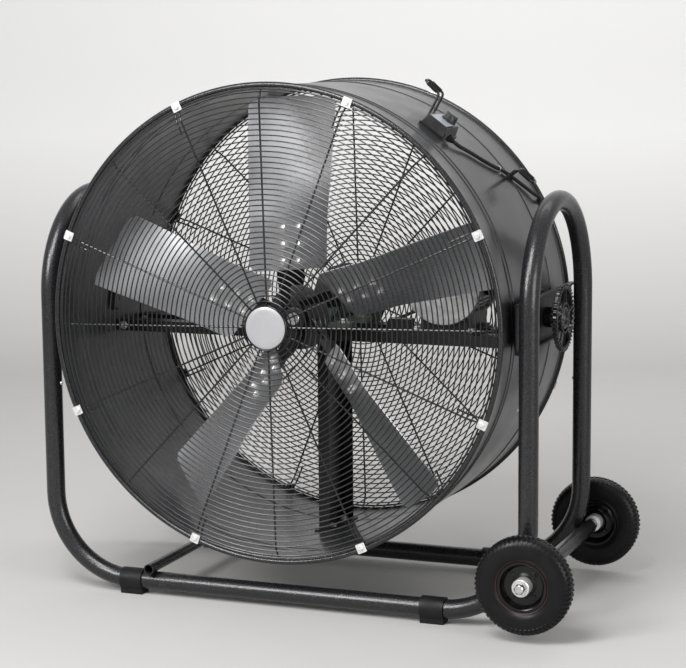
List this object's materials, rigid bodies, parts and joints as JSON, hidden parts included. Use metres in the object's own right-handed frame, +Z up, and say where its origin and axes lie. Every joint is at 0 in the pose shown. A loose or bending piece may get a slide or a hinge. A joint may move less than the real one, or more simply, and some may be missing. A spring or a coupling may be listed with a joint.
{
  "type": "drum fan",
  "caption": "Mobile belt-driven drum fan: a guarded drum with twisted blades tilts between two tube hoops on a bent-tube frame with transport wheels.",
  "frame": {"origin": "on the ground, under the middle of the whole fan's width and depth", "axes": "+X to the right seen from the air outlet, towards the wheels; the air leaves towards -Y; +Z up"},
  "size_m": [1.3316, 0.7166, 1.216],
  "materials": {
    "frame_paint": "dark grey hammered enamel, semi-gloss",
    "zinc": "bright zinc-plated fastener steel",
    "steel": "ground steel shaft",
    "foot_rubber": "black moulded rubber",
    "tyre": "black rubber with block tread",
    "rim_paint": "black gloss enamel",
    "drum_paint": "dark grey speckled powder coat",
    "guard_wire": "dark grey powder-coated wire",
    "badge_silver": "blank satin silver",
    "black_plastic": "black moulded plastic",
    "switch_label": "blank pale grey film",
    "bracket_paint": "dark grey enamel",
    "bearing_cast": "grey-green cast iron",
    "blade_metal": "satin mid-grey aluminium sheet",
    "pulley_cast": "dark cast iron",
    "belt_rubber": "black rubber",
    "motor_case": "dark grey enamel",
    "motor_cover": "light grey cast aluminium",
    "lead_rubber": "black rubber sheath"
  },
  "bodies": {
    "frame": {"lower_frame_front": "frame_paint", "lower_frame_rear": "frame_paint", "hoop_left": "frame_paint", "hoop_right": "frame_paint", "tube_spigots": "zinc", "frame_rivets": "zinc", "side_channels": "frame_paint", "cross_tube": "frame_paint", "rail_collars": "foot_rubber", "axle_tube": "frame_paint", "axle_rod": "zinc", "axle_nuts": "zinc"},
    "wheel_front": {"tyre_front": "tyre", "rim_front": "rim_paint", "rim_bolts_front": "zinc", "hub_front": "zinc"},
    "wheel_rear": {"tyre_rear": "tyre", "rim_rear": "rim_paint", "rim_bolts_rear": "zinc", "hub_rear": "zinc"},
    "drum": {"drum_shell": "drum_paint", "front_guard": "guard_wire", "rear_guard": "guard_wire", "guard_clips": "zinc", "clip_screws": "zinc", "badge_holder": "black_plastic", "badge_plate": "badge_silver", "crossbars": "bracket_paint", "bar_brackets": "bracket_paint", "support_strut": "bracket_paint", "support_bolts": "zinc", "bearing_front": "bearing_cast", "bearing_rear": "bearing_cast", "bearing_bolts": "zinc", "motor_case": "motor_case", "motor_covers": "motor_cover", "motor_base": "bracket_paint", "motor_bolts": "zinc", "belt_tensioner": "bracket_paint", "terminal_box": "black_plastic", "drive_belt": "belt_rubber", "pivot_plates": "drum_paint", "switch_box": "black_plastic", "switch_plate": "switch_label", "cord_hooks": "guard_wire", "hook_sleeves": "foot_rubber", "motor_lead": "lead_rubber", "lead_glands": "foot_rubber"},
    "rotor": {"fan_shaft": "steel", "hub_spider": "bracket_paint", "fan_blades": "blade_metal", "blade_bolts": "zinc", "driven_pulley": "pulley_cast"},
    "motor_rotor": {"motor_shaft": "steel", "motor_pulley": "pulley_cast"},
    "tilt_knob_left": {"handwheel_left": "black_plastic", "tilt_stud_left": "zinc"},
    "tilt_knob_right": {"handwheel_right": "black_plastic", "tilt_stud_right": "zinc"},
    "speed_knob": {"switch_knob": "black_plastic"}
  },
  "joints": [
    {"name": "drum_tilt", "type": "hinge", "parent": "frame", "child": "drum", "pos_m": [-0.05153, 0, 0.675], "axis": [1, 0, 0], "range_deg": [-90, 90]},
    {"name": "tilt_knob_left_turn", "type": "hinge", "parent": "drum", "child": "tilt_knob_left", "pos_m": [-0.65753, 0, 0.675], "axis": [-1, 0, 0], "range_deg": [0, 540]},
    {"name": "tilt_knob_right_turn", "type": "hinge", "parent": "drum", "child": "tilt_knob_right", "pos_m": [0.55447, 0, 0.675], "axis": [1, 0, 0], "range_deg": [0, 540]},
    {"name": "wheel_front_spin", "type": "hinge", "parent": "frame", "child": "wheel_front", "pos_m": [0.55578, -0.315, 0.1287], "axis": [0, 1, 0], "continuous": true},
    {"name": "wheel_rear_spin", "type": "hinge", "parent": "frame", "child": "wheel_rear", "pos_m": [0.55578, 0.315, 0.1287], "axis": [0, 1, 0], "continuous": true},
    {"name": "fan_spin", "type": "hinge", "parent": "drum", "child": "rotor", "pos_m": [-0.05153, 0, 0.666], "axis": [0, 1, 0], "continuous": true},
    {"name": "motor_spin", "type": "hinge", "parent": "drum", "child": "motor_rotor", "pos_m": [0.26147, 0, 0.737], "axis": [0, 1, 0], "continuous": true},
    {"name": "speed_knob_turn", "type": "hinge", "parent": "drum", "child": "speed_knob", "pos_m": [0.29854, -0.037, 1.13065], "axis": [0.5962, 0, 0.8028], "range_deg": [0, 270]}
  ],
  "couplings": [
    {"joint": "motor_spin", "follows": "fan_spin", "ratio": 3.0345}
  ]
}
